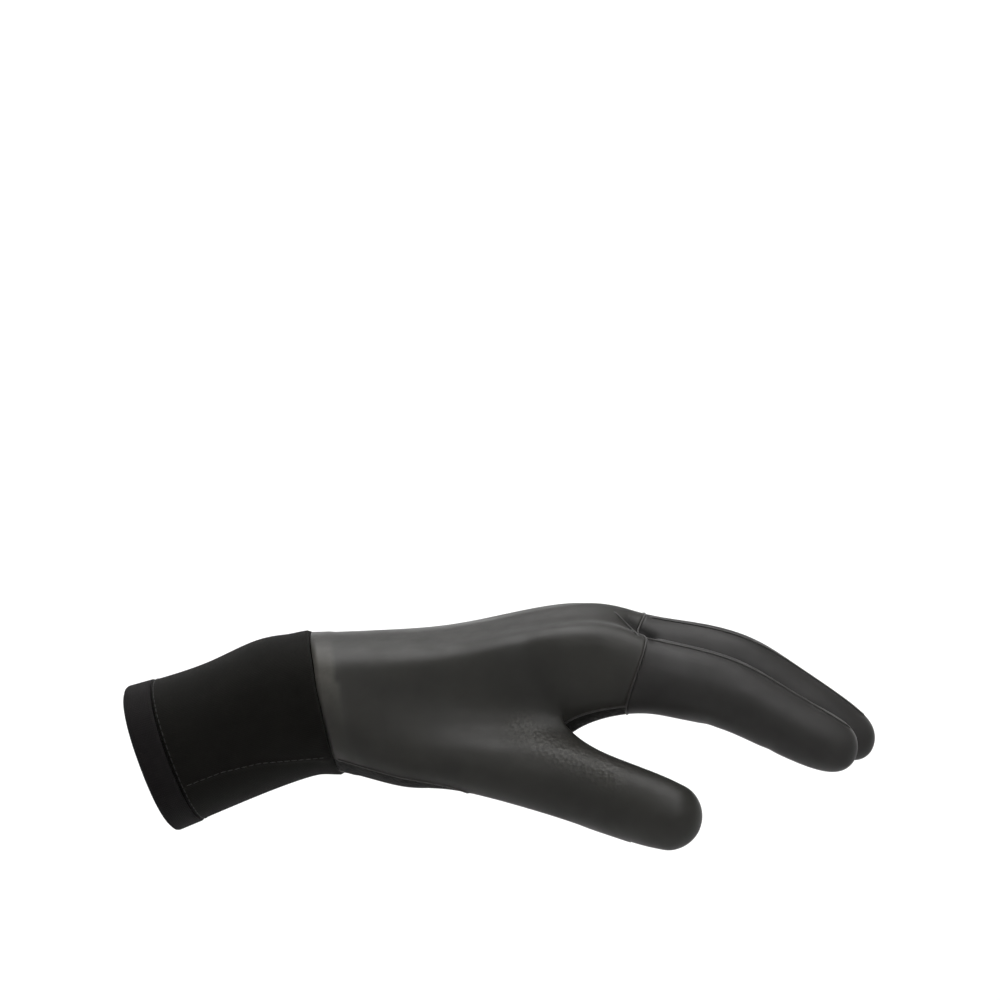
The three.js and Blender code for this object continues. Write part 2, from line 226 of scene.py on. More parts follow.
# The lights: name, place, target, width and height, spread in degrees, and setting of the power
LIGHTS = (
    ("top_light", (0.20, 0.06, 1.20), (0.12, 0.0, 0.0), (1.9, 0.8), 180.0, "top_power"),
    ("wall_light_left", (-0.9, 0.9, 1.2), (-0.8, 2.6, 0.25), (1.6, 0.8), 85.0, "wall_power"),
    ("wall_light_right", (1.1, 0.9, 1.2), (1.0, 2.6, 0.25), (1.6, 0.8), 85.0, "wall_power"),
    ("front_fill", (0.75, -1.45, 1.05), (0.14, 0.0, 0.0), (1.3, 0.8), 120.0, "fill_power"),
)


# ---------------------------------------------------------------------------
# Settings
# ---------------------------------------------------------------------------


def length(text, default, high=0.02):
    """A length in metres that the sidebar shows."""
    return bpy.props.FloatProperty(
        description=text, default=default, min=0.0, max=high, unit="LENGTH", precision=5
    )


def colour(text, default):
    """A linear colour that the sidebar shows."""
    return bpy.props.FloatVectorProperty(
        description=text, default=default, size=3, min=0.0, max=1.0, subtype="COLOR"
    )


def factor(text, default, high=1.0):
    """A plain share that the sidebar shows."""
    return bpy.props.FloatProperty(
        description=text, default=default, min=0.0, max=high, subtype="FACTOR"
    )


def power(text, default):
    """A light's power that the sidebar shows."""
    return bpy.props.FloatProperty(description=text, default=default)


class GloveSleeveSettings(bpy.types.PropertyGroup):
    """Sizes and colours of the sleeve and its hem."""

    cuff_wall: length("Thickness of the sleeve's foam and cloth", 3.0 * MM)
    hem_wall: length("Thickness of the turned hem", 3.2 * MM)
    cuff_lift: length("How far the sleeve's edge stands over the hand's rubber", 0.9 * MM)
    cuff_lift_run: length("Length over which the sleeve rises to its edge", 9.0 * MM)
    hem_round: length("Rounding of the hem's two edges", 1.1 * MM)
    edge_round: length("Rounding of the sleeve's cut edge", 0.5 * MM)
    cloth_colour: colour("Knitted face cloth of the sleeve", (0.0062, 0.0059, 0.0048))
    hem_colour: colour("Stretch binding of the hem", (0.0092, 0.0081, 0.0084))
    knit_pitch: length("Width of one wale of the knit", 0.55 * MM)
    seam_height: length("Height of the sleeve's seam over the cloth", 0.28 * MM)
    seam_run: length("Half width of that seam", 0.75 * MM)


class GloveHandSettings(bpy.types.PropertyGroup):
    """Sizes and colours of the hand's rubber skins."""

    wall: length("Thickness of the hand's foam rubber", 2.5 * MM)
    rim_gap: length("Half of the joint left between two skins", 0.04 * MM)
    groove_depth: length("Depth of the dip that a seam pulls into the rubber", 0.03 * MM)
    groove_run: length("Half width of that dip", 1.5 * MM)
    band_width: length("Width of the overlap band beside the wrist joint", 7.0 * MM)
    band_height: length("Height of the overlap band's step", 0.22 * MM)
    back_colour: colour("Smooth rubber of the back and thumb", (0.0235, 0.0224, 0.0196))
    stall_colour: colour("Smooth rubber of the finger stalls", (0.0222, 0.0207, 0.0198))
    palm_colour: colour("Textured rubber of the palm", (0.0125, 0.0121, 0.0108))
    inside_colour: colour("Cloth face inside the walls", (0.0110, 0.0105, 0.0100))
    pebble_size: length("Size of one pebble of the palm's texture", 1.1 * MM)
    valley_depth: length("Depth of the hollow behind the index knuckle", 0.45 * MM)
    valley_run: length("Half width of that hollow", 3.8 * MM)
    knuckle_height: length("Height of the knuckle's ridge", 0.5 * MM)
    crumple_height: length("Height of the crumpled strip on the thumb's base", 0.45 * MM)
    fold_depth: length("Depth of the folds in the palm", 0.4 * MM)
    finger_fold: length("Depth of the folds under the fingers' joints", 0.2 * MM)
    fold_run: length("Half width of those folds", 1.3 * MM)


class GloveSeamSettings(bpy.types.PropertyGroup):
    """Sizes of the seam beads."""

    bead_radius: length("Radius of the sealed bead along a seam", 0.36 * MM)
    bead_sink: factor("Share of the bead's radius that lies in the rubber", 0.78)
    bead_step: length("Length of one piece of a bead", 0.9 * MM)
    stall_radius: length("Radius of the fine bead round each finger's root", 0.3 * MM)
    stall_sink: factor("Share of that bead's radius that lies in the rubber", 0.88)
    edge_inset: length("How far the fingers' beads lie inside their outline", 1.0 * MM)
    bead_colour: colour("Rubber sealant of the seams", (0.034, 0.032, 0.030))


class GloveStitchSettings(bpy.types.PropertyGroup):
    """Sizes and colour of the sewing."""

    thread_radius: length("Radius of the sewing thread", 0.15 * MM)
    stitch_length: length("Length of one visible stitch", 1.9 * MM)
    stitch_pitch: length("Distance from one stitch to the next", 2.3 * MM)
    row_inset: length("Distance of the row from the hem's edge", 0.7 * MM)
    thread_colour: colour("Sewing thread", (0.0095, 0.0088, 0.0084))


class GloveStageSettings(bpy.types.PropertyGroup):
    """The floor, the lights and the camera."""

    floor_drop: length("Depth of the floor below the glove", 1.0, high=3.0)
    bowl_radius: length("Radius of the pale bowl round the glove", 2.6, high=6.0)
    bowl_colour: colour("Paint of the floor and the wall", (0.9, 0.9, 0.9))
    top_power: power("Power of the soft box above", 16.0)
    wall_power: power("Power of each wall light", 11.0)
    fill_power: power("Power of the front fill", 4.0)
    world_strength: factor("Strength of the even light from all sides", 0.15, high=4.0)


# ---------------------------------------------------------------------------
# From the frame's solids to smooth quad skins
# ---------------------------------------------------------------------------


def merged_copy(name):
    """A copy of a node's mesh with its loose triangles joined."""
    bm = bmesh.new()
    bm.from_mesh(frame["nodes"][name].data)
    bmesh.ops.remove_doubles(bm, verts=bm.verts, dist=SAME_POINT)
    bm.normal_update()
    bm.verts.index_update()
    bm.faces.index_update()
    bm.verts.ensure_lookup_table()
    bm.faces.ensure_lookup_table()
    return bm


def point_cloud(points, numbers=None):
    """A search tree over points, or over the ones with some numbers."""
    numbers = range(len(points)) if numbers is None else numbers
    cloud = KDTree(len(numbers))
    for number in numbers:
        cloud.insert(points[number], number)
    cloud.balance()
    return cloud


def joint_faces(bm, others):
    """Indices of the faces that look across the narrow joint to a neighbour."""
    trees = []
    clouds = []
    for name in others:
        other = merged_copy(name)
        trees.append(BVHTree.FromBMesh(other))
        clouds.append(point_cloud([vert.co for vert in other.verts]))
        other.free()
    near = [min(cloud.find(v.co)[2] for cloud in clouds) < SEAM_REACH for v in bm.verts]
    found = set()
    for face in bm.faces:
        if all(near[v.index] for v in face.verts):
            centre = face.calc_center_median()
            if min(tree.find_nearest(centre)[3] for tree in trees) < RIM_REACH:
                found.add(face.index)
    return found


def outer_region(bm, left_out, sharpest):
    """The widest run of faces once some are left out and edges sharper than an angle are cut."""
    done = [face.index in left_out for face in bm.faces]
    best = []
    best_area = 0.0
    for start in bm.faces:
        if done[start.index]:
            continue
        done[start.index] = True
        region = [start]
        for face in region:
            for edge in face.edges:
                if edge.calc_face_angle(0.0) > sharpest:
                    continue
                for other in edge.link_faces:
                    if not done[other.index]:
                        done[other.index] = True
                        region.append(other)
        area = sum(face.calc_area() for face in region)
        if area > best_area:
            best = region
            best_area = area
    return best


def welded_triangles(names, sharpest):
    """Points, triangles and each triangle's piece, for the outer skins welded along their seams."""
    points = []
    rim = []
    triangles = []
    pieces = []
    for piece, name in enumerate(names):
        bm = merged_copy(name)
        others = [other for other in frame["nodes"] if other != name]
        left_out = joint_faces(bm, others) if len(names) > 1 else set()
        region = outer_region(bm, left_out, sharpest)
        inside = {face.index for face in region}
        index = {}
        for face in region:
            for vert in face.verts:
                if vert.index not in index:
                    index[vert.index] = len(points)
                    beside = [[f.index in inside for f in e.link_faces] for e in vert.link_edges]
                    if any(sum(sides) == 1 for sides in beside):
                        rim.append(len(points))
                    points.append(vert.co.copy())
            triangles.append([index[vert.index] for vert in face.verts])
            pieces.append(piece)
        bm.free()
    group = list(range(len(points)))

    def root(number):
        while group[number] != number:
            number = group[number]
        return number

    if len(names) > 1:
        cloud = point_cloud(points, rim)
        for number in rim:
            for found in cloud.find_range(points[number], SEAM_REACH):
                a, b = root(number), root(found[1])
                group[max(a, b)] = min(a, b)
    roots = sorted({root(number) for number in range(len(points))})
    place = {number: k for k, number in enumerate(roots)}
    sums = np.zeros((len(roots), 3))
    counts = np.zeros((len(roots), 1))
    for number, point in enumerate(points):
        sums[place[root(number)]] += point
        counts[place[root(number)]] += 1
    triangles = [[place[root(number)] for number in triangle] for triangle in triangles]
    return sums / counts, triangles, pieces


def two_kinds(bm):
    """Splits the vertices in two kinds so that only the quads' diagonals join two of one kind."""
    diagonals = []
    for edge in bm.edges:
        if len(edge.link_faces) != 2:
            continue
        sides = [e.calc_length() for face in edge.link_faces for e in face.edges if e != edge]
        tips = [vert for face in edge.link_faces for vert in face.verts if vert not in edge.verts]
        margin = edge.calc_length() / max(sides) - BEND_WEIGHT * edge.calc_face_angle(0.0)
        diagonals.append((margin, edge.index, tips[0].index, tips[1].index))
    above = list(range(len(bm.verts)))
    turned = [0] * len(above)

    def top(number):
        turn = 0
        while above[number] != number:
            turn ^= turned[number]
            number = above[number]
        return number, turn

    for _, index, left, right in sorted(diagonals, reverse=True):
        start, end = (vert.index for vert in bm.edges[index].verts)
        for a, b, differ in ((start, end, 0), (start, left, 1), (start, right, 1)):
            (a, a_turn), (b, b_turn) = top(a), top(b)
            if a != b:
                above[b] = a
                turned[b] = a_turn ^ b_turn ^ differ
    kind = [top(number)[1] for number in range(len(above))]
    beside = [[edge.other_vert(vert).index for edge in vert.link_edges] for vert in bm.verts]
    around = [[tuple(v.index for v in face.verts) for face in vert.link_faces] for vert in bm.verts]

    def faults(number):
        wrong = sum(
            (kind[a] == kind[b]) + (kind[b] == kind[c]) + (kind[a] == kind[c]) != 1
            for a, b, c in around[number]
        )
        edges = sum(kind[number] != kind[other] for other in beside[number])
        return FACE_WEIGHT * wrong + abs(edges - GOOD_EDGES)

    for _ in range(SOLVER_ROUNDS):
        for number in range(len(kind)):
            for turn in [(number,)] + [(number, other) for other in beside[number]]:
                ring = sorted({other for one in turn for other in [one] + beside[one]})
                before = sum(faults(other) for other in ring)
                for one in turn:
                    kind[one] = 1 - kind[one]
                if sum(faults(other) for other in ring) >= before:
                    for one in turn:
                        kind[one] = 1 - kind[one]
    return kind


def read_all(items, label, width, kind=float):
    """One property of all of a mesh's points, faces or corners, in rows of a width."""
    values = np.empty(len(items) * width, kind)
    items.foreach_get(label, values)
    return values.reshape(-1, width)


def linked(name, data):
    """A new object, linked to the scene."""
    item = bpy.data.objects.new(name, data)
    bpy.context.scene.collection.objects.link(item)
    return item


def baked(holder):
    """Turns an object with live modifiers into a plain mesh and removes the object."""
    depsgraph = bpy.context.evaluated_depsgraph_get()
    mesh = bpy.data.meshes.new_from_object(holder.evaluated_get(depsgraph))
    bpy.data.objects.remove(holder)
    return mesh


def quad_skin(names, sharpest):
    """The smooth outer skin of some nodes: points, normals, quads and each quad's piece."""
    points, triangles, pieces = welded_triangles(names, sharpest)
    bm = bmesh.new()
    verts = [bm.verts.new(point) for point in points]
    for triangle, piece in zip(triangles, pieces):
        bm.faces.new([verts[number] for number in triangle]).material_index = piece
    bm.verts.ensure_lookup_table()
    bm.verts.index_update()
    bm.normal_update()
    bm.edges.ensure_lookup_table()
    bm.edges.index_update()
    kind = two_kinds(bm)
    diagonals = [e for e in bm.edges if kind[e.verts[0].index] == kind[e.verts[1].index]]
    bmesh.ops.dissolve_edges(bm, edges=diagonals, use_verts=False, use_face_split=False)
    if any(len(face.verts) != 4 for face in bm.faces):
        raise RuntimeError(f"the skin of {names} isn't all quads")
    mesh = bpy.data.meshes.new("skin")
    bm.to_mesh(mesh)
    bm.free()
    for _ in names:
        mesh.materials.append(None)
    holder = linked("skin", mesh)
    smooth = holder.modifiers.new("smooth", "SUBSURF")
    smooth.levels = SKIN_LEVELS
    smooth.render_levels = smooth.levels
    fine = baked(holder)
    bpy.data.meshes.remove(mesh)
    places = read_all(fine.vertices, "co", 3)
    quads = read_all(fine.polygons, "vertices", 4, int)
    piece_of = read_all(fine.polygons, "material_index", 1, int)[:, 0]
    bpy.data.meshes.remove(fine)
    return places, point_normals(places, quads), quads, piece_of


def point_normals(points, quads):
    """Smooth normals at the points of a quad surface."""
    corners = points[quads]
    across = np.cross(corners[:, 2] - corners[:, 0], corners[:, 3] - corners[:, 1])
    total = np.zeros_like(points)
    for corner in range(4):
        np.add.at(total, quads[:, corner], across)
    return unit(total)


def unit(vectors):
    """Vectors made one long, or left at zero."""
    return vectors / np.maximum(np.linalg.norm(vectors, axis=1, keepdims=True), TINY)


def quad_edges(quads):
    """The directed edges of all quads, with a number for each edge and one for its reverse."""
    edges = np.concatenate([quads[:, [k, (k + 1) % 4]] for k in range(4)])
    size = edges.max() + 1
    return edges, edges[:, 0] * size + edges[:, 1], edges[:, 1] * size + edges[:, 0]


def wall_depth(points, normals, quads, wall):
    """The wall's depth at each point, less where the skin bends round tighter than the wall."""
    edges = quad_edges(quads)[0]
    start, end = np.concatenate([edges, edges[:, ::-1]]).T
    along = points[end] - points[start]
    turn = normals[end] - normals[start]
    bend = (turn * along).sum(axis=1) / np.maximum((along**2).sum(axis=1), TINY)
    tightest = np.full(len(points), LEAST_BEND)
    np.maximum.at(tightest, start, bend)
    depth = np.minimum(wall, WALL_SHARE / tightest)
    for _ in range(WALL_SPREAD):
        least = depth.copy()
        np.minimum.at(least, start, depth[end])
        depth = least
    count = np.bincount(start, minlength=len(points))
    for _ in range(WALL_SMOOTHING):
        depth = (depth + np.bincount(start, depth[end], len(points)) / count) / 2.0
    return depth


def border_edges(quads):
    """The directed edges that only one quad has."""
    edges, keys, twins = quad_edges(quads)
    return edges[~np.isin(keys, twins)]


def distance_to(points, marks):
    """Each point's distance from the nearest mark."""
    cloud = point_cloud(marks)
    return np.array([cloud.find(point)[2] for point in points])


def smooth_step(low, high, values):
    """0 below low, 1 above high, and a soft rise between."""
    share = np.clip((values - low) / (high - low), 0.0, 1.0)
    return share * share * (3.0 - 2.0 * share)


def seen(points):
    """Where points look to be from the camera, on the upright plane through the glove's middle."""
    eye = np.array(CAMERA_PLACE)
    share = -eye[1] / (points[:, 1] - eye[1])
    return eye[[0, 2]] + (points[:, [0, 2]] - eye[[0, 2]]) * share[:, None]


def stroke(flat, facing, line, run):
    """1 on a line and 0 away from it, only on the faces that are turned to its side."""
    marks = np.array(line) * MM
    best = np.full(len(flat), np.inf)
    for a, b in zip(marks[:-1], marks[1:]):
        along = b - a
        share = np.clip(((flat - a) @ along) / (along @ along), 0.0, 1.0)
        best = np.minimum(best, np.linalg.norm(flat - a - share[:, None] * along, axis=1))
    return np.exp(-((best / run) ** 2)) * smooth_step(*LINE_FACING, facing)


def rounded_tip(points, chosen):
    """The points with the thumb's end drawn onto a round dome."""
    along = np.array((TIP_ALONG[0], 0.0, TIP_ALONG[1]))
    along /= np.linalg.norm(along)
    reach = (seen(points[chosen]) - np.array(TIP_MIDDLE)) @ along[[0, 2]]
    near = chosen[(reach > -TIP_RADIUS) & (points[chosen, 2] < TIP_TOP)]
    own = points[near]
    reach = (seen(own) - np.array(TIP_MIDDLE)) @ along[[0, 2]]
    root = slice_middle(own[np.abs(reach + TIP_ROOT * TIP_RADIUS) < TIP_SLICE])
    middle = slice_middle(own[np.abs(reach) < TIP_SLICE])
    along = (middle - root) / np.linalg.norm(middle - root)
    across = np.array((-along[2], 0.0, along[0]))
    across /= np.linalg.norm(across)
    beside = np.cross(along, across)
    offset = own - middle
    belt = offset[np.abs(offset @ along) < TIP_SLICE]
    radii = (TIP_RADIUS * TIP_LENGTH, np.abs(belt @ across).max(), np.abs(belt @ beside).max())
    parts = offset @ np.stack((along, across, beside), axis=1) / radii
    size = np.maximum(np.linalg.norm(parts, axis=1, keepdims=True), TIP_CORE)
    weight = smooth_step(0.0, TIP_BLEND, parts[:, :1] / size)
    moved = points.copy()
    moved[near] = own + weight * (offset / size - offset)
    return moved


def thumb_end(points, chosen):
    """1 on the thumb's end and 0 behind it."""
    along = np.array(TIP_ALONG) / np.linalg.norm(TIP_ALONG)
    reach = (seen(points[chosen]) - np.array(TIP_MIDDLE)) @ along
    low, high = (share * TIP_RADIUS for share in TIP_COLOUR)
    end = np.zeros(len(points))
    end[chosen] = smooth_step(low, high, reach) * (points[chosen, 2] < TIP_TOP)
    return end


def slice_middle(points):
    """The middle of the box round some points."""
    return (points.min(axis=0) + points.max(axis=0)) / 2.0


def palm_side(flat, normals, depth):
    """1 below the seam along the hand's lower edge, where the palm's rubber shows, 0 above it."""
    xs, zs = (np.array(PALM_EDGE) * MM).T
    height = np.interp(flat[:, 0], xs, zs)
    inside = smooth_step(xs[0] - PALM_START, xs[0], flat[:, 0])
    inside *= 1.0 - smooth_step(xs[-1], xs[-1] + PALM_END, flat[:, 0])
    below = smooth_step(-PALM_SOFT, PALM_SOFT, height - flat[:, 1])
    turned = 1.0 - smooth_step(0.0, PALM_FACING, normals[:, 2])
    return inside * below * turned * (depth < PALM_DEPTH)


def finger_folds(points, normals, chosen, run):
    """1 in the folds under a finger's joints and 0 away from them."""
    folds = np.zeros(len(points))
    own = points[chosen]
    low, high = own[:, 0].min(), own[:, 0].max()
    for place in FOLD_PLACES:
        x = low + (high - low) * place
        before = own[np.abs(own[:, 0] - x + FOLD_REACH) < FOLD_SLICE].mean(axis=0)
        after = own[np.abs(own[:, 0] - x - FOLD_REACH) < FOLD_SLICE].mean(axis=0)
        along = (after - before) / np.linalg.norm(after - before)
        down = np.array((along[2], 0.0, -along[0]))
        off = (own - (before + after) / 2.0) @ along
        facing = smooth_step(*FOLD_FACING, normals[chosen] @ down)
        folds[chosen] += np.exp(-((off / run) ** 2)) * facing
    return folds


def laid_line(tree, line, lift, step=1.0 * MM, sunk=0.6 * MM):
    """Points where a line seen from the camera lies on a surface, with its ends sunk in it."""
    eye = Vector(CAMERA_PLACE)
    marks = [Vector((x * MM, 0.0, z * MM)) for x, z in line]
    points = []
    for a, b in zip(marks[:-1], marks[1:]):
        count = max(1, round((b - a).length / step))
        for k in range(count + (b is marks[-1])):
            place, normal, _, _ = tree.ray_cast(eye, (a.lerp(b, k / count) - eye).normalized())
            if place is not None:
                points.append((place, normal))
    lifts = [-sunk] + [lift] * (len(points) - 2) + [-sunk]
    return [place + normal * rise for (place, normal), rise in zip(points, lifts)]


def upper_edge(points, inset):
    """A line just inside a finger's upper outline, as it looks from the camera."""
    flat = seen(points)
    places = np.linspace(flat[:, 0].min() + EDGE_START, flat[:, 0].max() - EDGE_END, EDGE_MARKS)
    heights = np.array([flat[np.abs(flat[:, 0] - x) < EDGE_SLICE, 1].max() for x in places])
    for _ in range(EDGE_SMOOTHING):
        heights[1:-1] = (heights[:-2] + heights[1:-1] + heights[2:]) / 3.0
    return [(x / MM, (height - inset) / MM) for x, height in zip(places, heights)]


def wall_piece(name, node, points, normals, quads, wall, rim_gap, finishes, fields=None):
    """A closed shell from an outer skin, an inner skin at the wall's depth and the rims between."""
    used, quads = np.unique(quads, return_inverse=True)
    quads = quads.reshape(-1, 4)
    outer = points[used].copy()
    normals = normals[used]
    rim = border_edges(quads)
    along = outer[rim[:, 1]] - outer[rim[:, 0]]
    inward = np.zeros_like(outer)
    step = unit(np.cross(normals[rim[:, 0]], along))
    np.add.at(inward, rim[:, 0], step)
    np.add.at(inward, rim[:, 1], step)
    outer += unit(inward) * rim_gap
    inner = outer - normals * (wall if np.isscalar(wall) else wall[used][:, None])
    count = len(outer)
    rims = np.concatenate([rim[:, ::-1], rim + count], axis=1)
    faces = np.concatenate([quads, quads[:, ::-1] + count, rims])
    mesh = bpy.data.meshes.new(name)
    mesh.from_pydata(np.concatenate([outer, inner]).tolist(), [], faces.tolist())
    for material in finishes:
        mesh.materials.append(material)
    kinds = np.zeros(len(faces), int)
    kinds[len(quads):] = len(finishes) - 1
    mesh.polygons.foreach_set("material_index", kinds)
    mesh.polygons.foreach_set("use_smooth", np.arange(len(faces)) < 2 * len(quads))
    for label, values in (fields or {}).items():
        layer = mesh.attributes.new(label, "FLOAT", "POINT")
        kept = np.asarray(values)[used]
        layer.data.foreach_set("value", np.concatenate([kept, kept]))
    mesh.update()
    return add_piece(name, mesh, node)


def add_piece(name, mesh, node):
    """Puts a finished mesh in the scene as a piece of the glove."""
    piece = linked(name, mesh)
    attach(piece, "root")
    if node:
        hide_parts(node)
    return piece


# ---------------------------------------------------------------------------
# Materials
# ---------------------------------------------------------------------------


def set_socket(tree, socket, value):
    """Links a socket to another one or sets its value."""
    if isinstance(value, bpy.types.NodeSocket):
        tree.links.new(value, socket)
    else:
        socket.default_value = value


def add_node(tree, kind, inputs, **values):
    """A node with its inputs' values or links and its own values."""
    node = tree.nodes.new(kind)
    for key, value in values.items():
        setattr(node, key, value)
    for key, value in inputs.items():
        set_socket(tree, node.inputs[key], value)
    return node


class Finish:
    """Builds one material's nodes."""

    def __init__(self, name):
        self.material = bpy.data.materials.new(name)
        self.material.use_nodes = True
        self.tree = self.material.node_tree
        self.shader = self.tree.nodes["Principled BSDF"]
        self.objects = self.add("ShaderNodeTexCoord", {}).outputs["Object"]

    def add(self, kind, inputs, **values):
        """A node of this material."""
        return add_node(self.tree, kind, inputs, **values)

    def noise(self, size, detail=2.0, rough=0.5):
        """Noise whose patches are about one size across."""
        inputs = {"Vector": self.objects, "Scale": 1.0 / size, "Detail": detail, "Roughness": rough}
        return self.add("ShaderNodeTexNoise", inputs).outputs["Fac"]

    def cells(self, size, **values):
        """Rounded cells about one size across."""
        inputs = {"Vector": self.objects, "Scale": 1.0 / size}
        return self.add("ShaderNodeTexVoronoi", inputs, **values).outputs["Distance"]

    def ramp(self, value, low, high, to_low, to_high):
        """A value mapped from one range to another."""
        inputs = {
            "Value": value, "From Min": low, "From Max": high, "To Min": to_low, "To Max": to_high,
        }
        return self.add("ShaderNodeMapRange", inputs).outputs["Result"]

    def patches(self, to_low, to_high, *noise):
        """Patches of noise that run from one value to another."""
        return self.ramp(self.noise(*noise), *NOISE_RANGE, to_low, to_high)

    def math(self, operation, a, b):
        """One arithmetic step."""
        return self.add("ShaderNodeMath", {0: a, 1: b}, operation=operation).outputs[0]

    def times(self, a, b):
        """Two values multiplied."""
        return self.math("MULTIPLY", a, b)

    def field(self, label):
        """One of the mesh's own fields."""
        return self.add("ShaderNodeAttribute", {}, attribute_name=label).outputs["Fac"]

    def mix(self, share, a, b):
        """Two colours mixed."""
        node = self.add("ShaderNodeMix", {"Factor": share}, data_type="RGBA")
        for key, value in ((6, a), (7, b)):
            value = (*value, 1.0) if isinstance(value, tuple) else value
            set_socket(self.tree, node.inputs[key], value)
        return node.outputs[2]

    def bump(self, height, depth, under=None):
        """A bump of a depth in metres, laid over another."""
        inputs = {"Height": height, "Distance": depth, "Strength": 1.0}
        if under is not None:
            inputs["Normal"] = under
        return self.add("ShaderNodeBump", inputs).outputs["Normal"]

    def done(self, **sockets):
        """Sets or links the shader's sockets and gives the material."""
        for key, value in sockets.items():
            set_socket(self.tree, self.shader.inputs[key.replace("_", " ")], value)
        return self.material


def shade(colour_value, share):
    """A colour made lighter or darker by a share."""
    return tuple(min(1.0, channel * share) for channel in colour_value)


def smooth_rubber(name, base):
    """Satin foam-rubber skin with a faint mottle, fine pores, lighter seams, painted highlights and
    painted shadow.
    """
    f = Finish(name)
    mottle = f.ramp(f.noise(22 * MM, 3.0, 0.55), 0.35, 0.65, 0.0, 1.0)
    tone = f.mix(mottle, shade(base, 0.84), shade(base, 1.16))
    tone = f.mix(f.times(f.field("seam"), 0.3), tone, shade(base, 1.6))
    # Painted highlight on the overlap band beside the wrist, brightest where the soft box above is
    # reflected, together with the lighter rubbed mark under the wrist
    highlight_and_rub_patches = f.patches(0.55, 1.0, 5 * MM, 4.0, 0.65)
    tone = f.mix(f.times(f.field("rub"), highlight_and_rub_patches), tone, shade(base, 3.4))
    # Painted speckled highlight along the thumb's crumpled strip, where the soft box above is
    # reflected
    speckled_highlight = f.ramp(f.noise(1.1 * MM, 3.0, 0.7), 0.35, 0.65, 0.0, 0.8)
    tone = f.mix(f.times(f.field("crease"), speckled_highlight), tone, shade(base, 2.6))
    # Darker where the palm's rubber shows below the seam, and painted shadow in the gap between the
    # knuckles
    tone = f.mix(f.field("under"), tone, shade(base, 0.25))
    rough = f.patches(0.42, 0.54, 9 * MM, 4.0, 0.6)
    rough = f.math("ADD", rough, f.times(f.field("under"), 0.4))
    pores = f.bump(f.noise(0.45 * MM, 3.0, 0.6), 0.012 * MM)
    pebble = f.times(f.cells(1.5 * MM), f.math("ADD", f.field("crease"), f.field("under")))
    skin = f.bump(pebble, 0.22 * MM, pores)
    waves = f.bump(f.noise(14 * MM, 2.0, 0.5), 0.25 * MM, skin)
    return f.done(Base_Color=tone, Roughness=rough, Normal=waves, Specular_IOR_Level=0.36)


def grip_rubber(name, base, smooth, pebble_size):
    """Matt palm rubber with a fine moulded pebble that runs out towards the thumb's end."""
    f = Finish(name)
    height = f.cells(pebble_size, feature="SMOOTH_F1")
    tone = f.mix(f.ramp(height, 0.1, 0.7, 0.0, 1.0), shade(base, 1.35), shade(base, 0.75))
    tone = f.mix(f.field("tip"), tone, shade(smooth, 1.35))
    rough = f.patches(0.56, 0.7, 6 * MM, 3.0)
    rough = f.math("SUBTRACT", rough, f.times(f.field("tip"), 0.15))
    height = f.times(height, f.math("SUBTRACT", 1.0, f.field("tip")))
    pores = f.bump(f.noise(0.4 * MM), 0.02 * MM)
    normal = f.bump(f.times(height, -1.0), 0.25 * MM, pores)
    return f.done(Base_Color=tone, Roughness=rough, Normal=normal, Specular_IOR_Level=0.2)


def knit_rows(f, place, direction, pitch, distortion):
    """The knit's wales or courses: waves of a pitch that run unevenly."""
    inputs = {
        "Vector": place, "Scale": WAVE_LENGTH / pitch,
        "Distortion": distortion, "Detail": 1.0, "Detail Scale": 3.0,
    }
    return f.add("ShaderNodeTexWave", inputs, bands_direction=direction).outputs["Fac"]


def knit_cloth(name, base, pitch, mapped=True):
    """Knitted nylon face cloth: wales and courses of tiny loops, with a soft nap."""
    f = Finish(name)
    place = f.add("ShaderNodeUVMap", {}, uv_map="cloth").outputs["UV"] if mapped else f.objects
    wales = knit_rows(f, place, "X", pitch, 1.2)
    courses = knit_rows(f, place, "Y", pitch * COURSE_SHARE, 1.0)
    loops = f.times(wales, courses)
    nap = f.noise(0.35 * MM, 4.0, 0.7)
    worn = f.ramp(f.noise(16 * MM, 3.0, 0.6), 0.4, 0.8, 0.0, 0.5)
    tone = f.mix(worn, f.mix(loops, shade(base, 0.72), shade(base, 1.35)), shade(base, 1.6))
    rough = f.ramp(nap, 0.2, 0.8, 0.84, 0.96)
    normal = f.bump(loops, 0.09 * MM, f.bump(nap, 0.05 * MM))
    return f.done(
        Base_Color=tone, Roughness=rough, Normal=normal,
        Sheen_Weight=0.02, Sheen_Roughness=0.6, Specular_IOR_Level=0.12,
    )


def thread_finish(name, base):
    """Twisted sewing thread."""
    f = Finish(name)
    twist = f.noise(0.25 * MM)
    tone = f.mix(twist, shade(base, 0.7), shade(base, 1.3))
    return f.done(Base_Color=tone, Roughness=0.62, Normal=f.bump(twist, 0.03 * MM))


def bead_finish(name, base):
    """Rubber sealant, a little glossier than the skins."""
    f = Finish(name)
    tone = f.mix(f.noise(4 * MM, 3.0), shade(base, 0.8), shade(base, 1.25))
    rough = f.patches(0.34, 0.46, 2 * MM)
    return f.done(Base_Color=tone, Roughness=rough, Normal=f.bump(f.noise(0.8 * MM), 0.04 * MM))


def stage_finish(base):
    """Matt pale paint with the faintest unevenness."""
    f = Finish("stage_paint")
    tone = f.mix(f.noise(0.6), shade(base, 0.985), tuple(base))
    return f.done(Base_Color=tone, Roughness=0.95, Specular_IOR_Level=0.1)


# ---------------------------------------------------------------------------
# Geometry nodes
# ---------------------------------------------------------------------------


